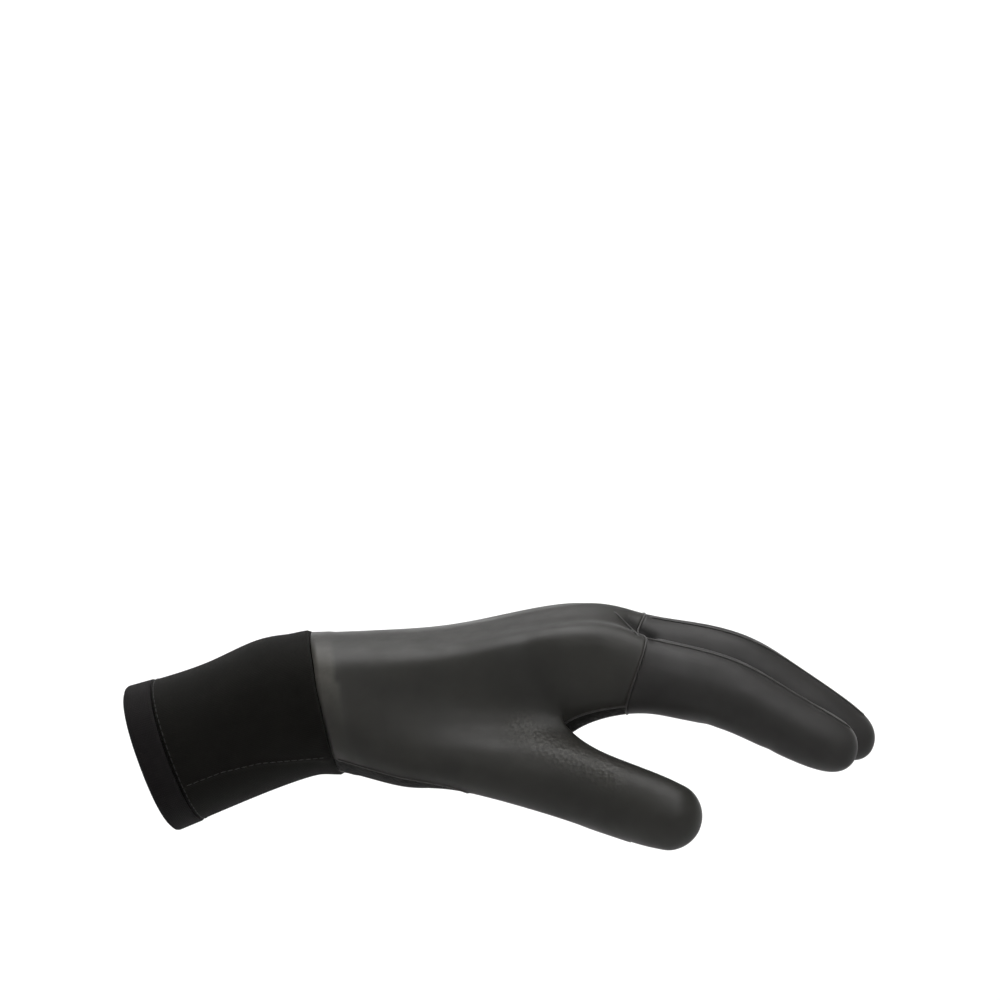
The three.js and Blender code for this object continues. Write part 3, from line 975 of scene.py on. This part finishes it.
def new_tree(name, floats):
    """An empty geometry tree with named lengths and a material as inputs."""
    tree = bpy.data.node_groups.new(name, "GeometryNodeTree")
    face = tree.interface
    face.new_socket("Path", in_out="INPUT", socket_type="NodeSocketGeometry")
    for label in floats:
        face.new_socket(label, in_out="INPUT", socket_type="NodeSocketFloat")
    face.new_socket("Finish", in_out="INPUT", socket_type="NodeSocketMaterial")
    face.new_socket("Geometry", in_out="OUTPUT", socket_type="NodeSocketGeometry")
    return tree, tree.nodes.new("NodeGroupInput").outputs


def end_tree(tree, geometry, finish):
    """Realises, shades smooth, sets the material and ends the tree."""
    for kind, inputs in (
        ("GeometryNodeRealizeInstances", {}),
        ("GeometryNodeSetShadeSmooth", {"Shade Smooth": True}),
        ("GeometryNodeSetMaterial", {"Material": finish}),
    ):
        geometry = add_node(tree, kind, {"Geometry": geometry, **inputs}).outputs["Geometry"]
    add_node(tree, "NodeGroupOutput", {"Geometry": geometry})


def bead_tree():
    """A round bead along every path."""
    tree, given = new_tree("seam_bead", ("Radius", "Step"))
    path = add_node(tree, "GeometryNodeMeshToCurve", {"Mesh": given["Path"]}).outputs["Curve"]
    even = add_node(
        tree, "GeometryNodeResampleCurve", {"Curve": path, "Length": given["Step"]}, mode="LENGTH"
    )
    ring = add_node(
        tree, "GeometryNodeCurvePrimitiveCircle", {"Resolution": 8, "Radius": given["Radius"]}
    )
    tube = add_node(
        tree, "GeometryNodeCurveToMesh",
        {"Curve": even.outputs["Curve"], "Profile Curve": ring.outputs["Curve"], "Fill Caps": True},
    )
    end_tree(tree, tube.outputs["Mesh"], given["Finish"])
    return tree


def stitch_tree():
    """Short rounded threads set one after another along every path."""
    tree, given = new_tree("stitch_row", ("Thread Radius", "Stitch Length", "Stitch Pitch"))
    path = add_node(tree, "GeometryNodeMeshToCurve", {"Mesh": given["Path"]}).outputs["Curve"]
    marks = add_node(
        tree, "GeometryNodeCurveToPoints",
        {"Curve": path, "Length": given["Stitch Pitch"]}, mode="LENGTH",
    )
    bead = add_node(tree, "GeometryNodeMeshUVSphere", {"Segments": 8, "Rings": 6, "Radius": 1.0})
    whole = given["Stitch Length"]
    half = add_node(tree, "ShaderNodeMath", {0: whole, 1: 0.5}, operation="MULTIPLY")
    thick = given["Thread Radius"]
    size = add_node(tree, "ShaderNodeCombineXYZ", {"X": thick, "Y": thick, "Z": half.outputs[0]})
    row = add_node(
        tree, "GeometryNodeInstanceOnPoints",
        {"Points": marks.outputs["Points"], "Instance": bead.outputs["Mesh"],
         "Rotation": marks.outputs["Rotation"], "Scale": size.outputs["Vector"]},
    )
    end_tree(tree, row.outputs["Instances"], given["Finish"])
    return tree


def along_paths(name, tree, paths, values):
    """Runs a tree over paths of points and adds the result as a piece."""
    points = []
    edges = []
    for path in paths:
        first = len(points)
        closed = path[0] is path[-1]
        own = path[:-1] if closed else path
        points.extend(own)
        edges.extend((first + k, first + k + 1) for k in range(len(own) - 1))
        if closed:
            edges.append((first + len(own) - 1, first))
    mesh = bpy.data.meshes.new(name + "_path")
    mesh.from_pydata([tuple(point) for point in points], edges, [])
    holder = linked(name + "_path", mesh)
    modifier = holder.modifiers.new("tree", "NODES")
    modifier.node_group = tree
    for item in tree.interface.items_tree:
        if item.in_out == "INPUT" and item.name in values:
            modifier[item.identifier] = values[item.name]
    return add_piece(name, baked(holder), None)


def chained(edges):
    """Loose edges as paths, cut where three or more meet. A closed path ends on its start."""
    links = {}
    for a, b in edges:
        links.setdefault(a, []).append(b)
        links.setdefault(b, []).append(a)
    used = set()
    paths = []
    starts = [point for point in links if len(links[point]) != 2] + list(links)
    for start in starts:
        for first in links[start]:
            if (start, first) in used:
                continue
            path = [start, first]
            used.update([(start, first), (first, start)])
            while len(links[path[-1]]) == 2 and path[-1] != start:
                ahead = [p for p in links[path[-1]] if (path[-1], p) not in used]
                if not ahead:
                    break
                used.update([(path[-1], ahead[0]), (ahead[0], path[-1])])
                path.append(ahead[0])
            paths.append(path)
    return paths


# ---------------------------------------------------------------------------
# What the operators hand to one another
# ---------------------------------------------------------------------------


class Glove:
    """The skins that later operators need."""

    hand = {}
    sleeve = {}


def sleeve_frame():
    """The direction from the sleeve's mouth to the wrist and two directions across it."""
    axis = Vector([-c for c in frame["record"]["mounts"][0]["axis"]]).normalized()
    side = Vector((0.0, 1.0, 0.0))
    return axis, side, axis.cross(side).normalized()


def cloth_map(mesh):
    """A UV map in metres: round the sleeve and along it."""
    axis, side, up = (np.array(v) for v in sleeve_frame())
    points = read_all(mesh.vertices, "co", 3)
    centre = points.mean(axis=0)
    across = (points - centre) @ side
    rise = (points - centre) @ up
    turn = np.arctan2(rise, across)
    girth = 2.0 * math.pi * np.hypot(across, rise).mean()
    corners = read_all(mesh.loops, "vertex_index", 1, int)[:, 0]
    around = (turn[corners] / (2.0 * math.pi)).reshape(-1, 4)
    around += np.where(around.max(axis=1, keepdims=True) - around > 0.5, 1.0, 0.0)
    layer = mesh.uv_layers.new(name="cloth")
    pairs = np.stack([around.reshape(-1) * girth, (points @ axis)[corners]], axis=1)
    layer.data.foreach_set("uv", pairs.reshape(-1))


def rounding(distance, bend):
    """How far a round edge lies below the flat, by the distance from that edge."""
    return bend - np.sqrt(np.maximum(bend**2 - np.maximum(bend - distance, 0.0) ** 2, 0.0))


class GLOVE_OT_sleeve(bpy.types.Operator):
    """Builds the cloth-faced sleeve and its turned hem."""

    bl_idname = "glove.sleeve"
    bl_label = "Build sleeve and hem"

    def execute(self, context):
        given = context.scene.glove_sleeve
        cloth = knit_cloth("sleeve_knit", given.cloth_colour, given.knit_pitch)
        binding = knit_cloth("hem_knit", given.hem_colour, given.knit_pitch * HEM_COARSER)
        paler = shade(given.cloth_colour, INSIDE_PALER)
        inside = knit_cloth("sleeve_inside", paler, given.knit_pitch)
        axis = np.array(sleeve_frame()[0])
        for node, slot, finish, wall in (
            ("cuff", "cuff_cloth", cloth, given.cuff_wall),
            ("hem_band", "hem_cloth", binding, given.hem_wall),
        ):
            points, normals, quads, _ = quad_skin((node,), SLEEVE_CORNER)
            rim = np.unique(border_edges(quads))
            height = points[rim] @ axis
            at_low = height < (height.min() + height.max()) / 2.0
            low = rim[at_low]
            to_low = distance_to(points, points[low])
            to_high = distance_to(points, points[rim[~at_low]])
            if node == "cuff":
                lift = given.cuff_lift * (1.0 - smooth_step(0.0, given.cuff_lift_run, to_high))
                seam = stroke(seen(points), -normals[:, 1], SLEEVE_SEAM, given.seam_run)
                lift += given.seam_height * seam - rounding(to_high, given.edge_round)
            else:
                lift = -rounding(np.minimum(to_low, to_high * HEM_FASTER), given.hem_round)
            points = points + normals * lift[:, None]
            piece = wall_piece(
                node + "_skin", node, points, normals, quads, wall, 0.0, (finish, inside)
            )
            cloth_map(piece.data)
            Glove.sleeve[node] = {"points": points, "quads": quads, "low": low}
        return {"FINISHED"}


class GLOVE_OT_hand(bpy.types.Operator):
    """Builds the rubber skins of the hand: back, palm and four finger stalls."""

    bl_idname = "glove.hand"
    bl_label = "Build hand skins"

    def execute(self, context):
        given = context.scene.glove_hand
        points, normals, quads, pieces = quad_skin(HAND_NODES, math.pi)
        panels = np.unique(quads[pieces <= PALM_PANEL])
        points = rounded_tip(points, panels)
        normals = point_normals(points, quads)
        seams, at_root = seam_edges(quads, pieces)
        wrist = np.unique(border_edges(quads))
        to_seam = distance_to(points, points[np.unique(seams)])
        to_wrist = distance_to(points, points[wrist])
        relief = -given.groove_depth * np.exp(-((to_seam / given.groove_run) ** 2))
        band = 1.0 - smooth_step(given.band_width - BAND_STEP, given.band_width, to_wrist)
        relief += given.band_height * band
        flat = seen(points)
        front = -normals[:, 1]
        # The thumb's crumpled strip: a low relief, and a painted speckled highlight in the rubber's
        # colour
        crumple_with_highlight = stroke(flat, front, THUMB_CRUMPLE, CRUMPLE_RUN)
        relief -= given.valley_depth * stroke(flat, front, KNUCKLE_VALLEY, given.valley_run)
        relief += given.knuckle_height * stroke(flat, front, KNUCKLE_RIDGE, given.valley_run)
        relief += given.crumple_height * crumple_with_highlight
        for line in PALM_LINES:
            fold = stroke(points[:, :2], -normals[:, 2], line, given.fold_run)
            relief -= given.fold_depth * fold
        for number in STALLS:
            chosen = np.unique(quads[pieces == number])
            folds = finger_folds(points, normals, chosen, FOLD_WIDER * given.fold_run)
            relief -= given.finger_fold * folds
        # The gap between the index and middle knuckles: a dent, and painted shadow through the palm
        # field
        above = np.where(points[:, 1] < GAP_SIDE, normals[:, 2], 0.0)
        gap_dent_and_shadow = stroke(flat, above, KNUCKLE_GAP, KNUCKLE_GAP_RUN)
        relief -= given.valley_depth * GAP_DEPTH * gap_dent_and_shadow
        points = points + normals * relief[:, None]
        # Painted highlight on the overlap band: strongest at the height where the soft box above is
        # reflected, on faces turned to the camera
        lit = np.exp(-(((flat[:, 1] - BAND_MIDDLE) / BAND_REACH) ** 2))
        lit *= smooth_step(0.0, BAND_FACING, front)
        wrist_rub = WRIST_RUB_SHARE * stroke(flat, front, WRIST_RUB, WRIST_RUB_RUN)
        fields = {
            "seam": np.exp(-((to_seam / SEAM_TINT_RUN) ** 2)),
            "rub": np.maximum(band * (BAND_HIGHLIGHT[0] + BAND_HIGHLIGHT[1] * lit), wrist_rub),
            "crease": crumple_with_highlight,
            # The palm's rubber below the seam, and painted shadow in the knuckle gap
            "under": np.maximum(palm_side(flat, normals, points[:, 1]), gap_dent_and_shadow),
            "tip": thumb_end(points, panels),
        }
        back = smooth_rubber("back_rubber", given.back_colour)
        stall = smooth_rubber("stall_rubber", given.stall_colour)
        palm = grip_rubber("palm_rubber", given.palm_colour, given.back_colour, given.pebble_size)
        inside = knit_cloth("hand_inside", given.inside_colour, INSIDE_PITCH, mapped=False)
        depth = wall_depth(points, normals, quads, given.wall)
        for number, node in enumerate(HAND_NODES):
            finish = {BACK_PANEL: back, PALM_PANEL: palm}.get(number, stall)
            wall_piece(
                node + "_skin", node, points, normals, quads[pieces == number],
                depth, given.rim_gap, (finish, inside), fields,
            )
        kept = (fields["tip"][seams] < TIP_BEAD).any(axis=1)
        Glove.hand = {
            "points": points, "normals": normals, "quads": quads, "pieces": pieces,
            "seams": seams[kept], "at_root": at_root[kept],
        }
        return {"FINISHED"}


def seam_edges(quads, pieces):
    """The edges where two pieces meet, and which of them lie round a finger's root."""
    edges, keys, twins = quad_edges(quads)
    owner = np.tile(pieces, 4)
    order = np.argsort(keys)
    found = order[np.minimum(np.searchsorted(keys[order], twins), len(keys) - 1)]
    match = keys[found] == twins
    other = owner[found]
    chosen = match & (owner < other)
    return edges[chosen], other[chosen] > PALM_PANEL


def seam_paths(hand, chosen, lift):
    """The chosen seams as paths of points that stand over the skins by a lift."""
    places = [Vector(point) for point in (hand["points"] + hand["normals"] * lift).tolist()]
    return [[places[number] for number in path] for path in chained(hand["seams"][chosen].tolist())]


class GLOVE_OT_seams(bpy.types.Operator):
    """Lays the sealed beads along the seams between the skins."""

    bl_idname = "glove.seams"
    bl_label = "Lay seam beads"

    def execute(self, context):
        given = context.scene.glove_seams
        hand = Glove.hand
        finish = bead_finish("seam_sealant", given.bead_colour)
        lift = given.bead_radius * (1.0 - given.bead_sink)
        paths = seam_paths(hand, ~hand["at_root"], lift)
        corners = [Vector(point) for point in hand["points"].tolist()]
        for number in STALLS:
            own = hand["quads"][hand["pieces"] == number]
            tree = BVHTree.FromPolygons(corners, own.tolist())
            edge = upper_edge(hand["points"][np.unique(own)], given.edge_inset)
            paths.append(laid_line(tree, edge, lift))
        tree = BVHTree.FromPolygons(corners, hand["quads"].tolist())
        paths.extend(laid_line(tree, line, lift) for line in (KNUCKLE_SEAM, PALM_EDGE))
        roots = seam_paths(hand, hand["at_root"], given.stall_radius * (1.0 - given.stall_sink))
        for name, own, radius in (
            ("hand_seam_beads", paths, given.bead_radius),
            ("stall_seam_beads", roots, given.stall_radius),
        ):
            sizes = {"Radius": radius, "Step": given.bead_step, "Finish": finish}
            along_paths(name, bead_tree(), own, sizes)
        return {"FINISHED"}


class GLOVE_OT_stitches(bpy.types.Operator):
    """Sews the hem's row of stitches and the sleeve's seam."""

    bl_idname = "glove.stitches"
    bl_label = "Sew stitches"

    def execute(self, context):
        given = context.scene.glove_stitches
        finish = thread_finish("sewing_thread", given.thread_colour)
        cuff = Glove.sleeve["cuff"]
        axis = np.array(sleeve_frame()[0])
        corners = [Vector(point) for point in cuff["points"].tolist()]
        tree = BVHTree.FromPolygons(corners, cuff["quads"].tolist())
        rim = border_edges(cuff["quads"])
        loop = chained(rim[np.isin(rim[:, 0], cuff["low"])].tolist())
        lift = given.thread_radius * THREAD_LIFT
        row = []
        for number in loop[0][:-1]:
            start = Vector(cuff["points"][number] + axis * given.row_inset)
            place, normal, _, _ = tree.find_nearest(start)
            row.append(place + normal * lift)
        sizes = {
            "Thread Radius": given.thread_radius, "Stitch Length": given.stitch_length,
            "Stitch Pitch": given.stitch_pitch, "Finish": finish,
        }
        along_paths("hem_stitches", stitch_tree(), [row + [row[0]]], sizes)
        seam = laid_line(tree, SLEEVE_SEAM, lift)
        along_paths("sleeve_stitches", stitch_tree(), [seam], sizes)
        return {"FINISHED"}


class GLOVE_OT_stage(bpy.types.Operator):
    """Sets the pale bowl, the lights and the camera."""

    bl_idname = "glove.stage"
    bl_label = "Set stage"

    def execute(self, context):
        given = context.scene.glove_stage
        stage_bowl(given)
        for name, place, target, size, spread, setting in LIGHTS:
            soft_light(name, place, target, size, spread, getattr(given, setting))
        world = bpy.data.worlds.new("studio_air")
        world.use_nodes = True
        air = world.node_tree.nodes["Background"].inputs
        air["Color"].default_value = (1.0, 1.0, 1.0, 1.0)
        air["Strength"].default_value = given.world_strength
        context.scene.world = world
        context.scene.view_settings.view_transform = "Standard"
        camera = linked("camera", bpy.data.cameras.new("camera"))
        camera.data.lens = CAMERA_LENS
        camera.data.sensor_width = CAMERA_SENSOR
        camera.data.clip_start = CAMERA_NEAR
        camera.location = CAMERA_PLACE
        camera.rotation_euler = (math.pi / 2.0, 0.0, 0.0)
        context.scene.camera = camera
        return {"FINISHED"}


def soft_light(name, place, target, size, spread, watts):
    """A rectangular soft light that isn't seen itself."""
    data = bpy.data.lights.new(name, "AREA")
    data.shape = "RECTANGLE"
    data.size, data.size_y = size
    data.energy = watts
    data.spread = math.radians(spread)
    light = linked(name, data)
    light.location = place
    light.rotation_euler = (Vector(target) - Vector(place)).to_track_quat("-Z", "Y").to_euler()
    light.visible_camera = False


def stage_bowl(given):
    """A flat pale floor that curves up into a round wall."""
    radius = given.bowl_radius
    curve = radius * BOWL_CURVE
    profile = [(radius * BOWL_MIDDLE, 0.0), (radius - curve, 0.0)]
    for step in range(1, BOWL_STEPS + 1):
        turn = math.radians(90.0 * step / BOWL_STEPS)
        profile.append((radius - curve + curve * math.sin(turn), curve - curve * math.cos(turn)))
    profile.append((radius, radius * BOWL_HEIGHT))
    points = []
    for reach, height in profile:
        for side in range(BOWL_SIDES):
            turn = 2.0 * math.pi * side / BOWL_SIDES
            x, y = BOWL_CENTRE + reach * math.cos(turn), reach * math.sin(turn)
            points.append((x, y, height - given.floor_drop))
    faces = [tuple(range(BOWL_SIDES))]
    for a in range(0, len(points) - BOWL_SIDES, BOWL_SIDES):
        b = a + BOWL_SIDES
        for side in range(BOWL_SIDES):
            after = (side + 1) % BOWL_SIDES
            faces.append((a + side, b + side, b + after, a + after))
    mesh = bpy.data.meshes.new("stage_floor")
    mesh.from_pydata(points, [], faces)
    mesh.materials.append(stage_finish(given.bowl_colour))
    mesh.polygons.foreach_set("use_smooth", [True] * len(faces))
    linked("stage_floor", mesh)


class GLOVE_PT_panel(bpy.types.Panel):
    """Lists the glove's settings and the operators that build it."""

    bl_idname = "GLOVE_PT_panel"
    bl_label = "Diving Glove"
    bl_space_type = "VIEW_3D"
    bl_region_type = "UI"
    bl_category = "Glove"

    def draw(self, context):
        for settings, _, operator in STEPS:
            box = self.layout.box()
            group = getattr(context.scene, settings)
            for label in group.__annotations__:
                box.prop(group, label, text=label.replace("_", " ").capitalize())
            box.operator(operator.bl_idname)


# What the sidebar lists, in the order of the work
STEPS = (
    ("glove_sleeve", GloveSleeveSettings, GLOVE_OT_sleeve),
    ("glove_hand", GloveHandSettings, GLOVE_OT_hand),
    ("glove_seams", GloveSeamSettings, GLOVE_OT_seams),
    ("glove_stitches", GloveStitchSettings, GLOVE_OT_stitches),
    ("glove_stage", GloveStageSettings, GLOVE_OT_stage),
)


def register():
    for name, group, operator in STEPS:
        bpy.utils.register_class(group)
        setattr(bpy.types.Scene, name, bpy.props.PointerProperty(type=group))
        bpy.utils.register_class(operator)
    bpy.utils.register_class(GLOVE_PT_panel)


def unregister():
    bpy.utils.unregister_class(GLOVE_PT_panel)
    for name, group, operator in reversed(STEPS):
        bpy.utils.unregister_class(operator)
        delattr(bpy.types.Scene, name)
        bpy.utils.unregister_class(group)


def main():
    """Builds the whole glove."""
    register()
    bpy.ops.glove.sleeve()
    bpy.ops.glove.hand()
    bpy.ops.glove.seams()
    bpy.ops.glove.stitches()
    bpy.ops.glove.stage()
    bpy.context.view_layer.update()


if __name__ == "__main__":
    main()
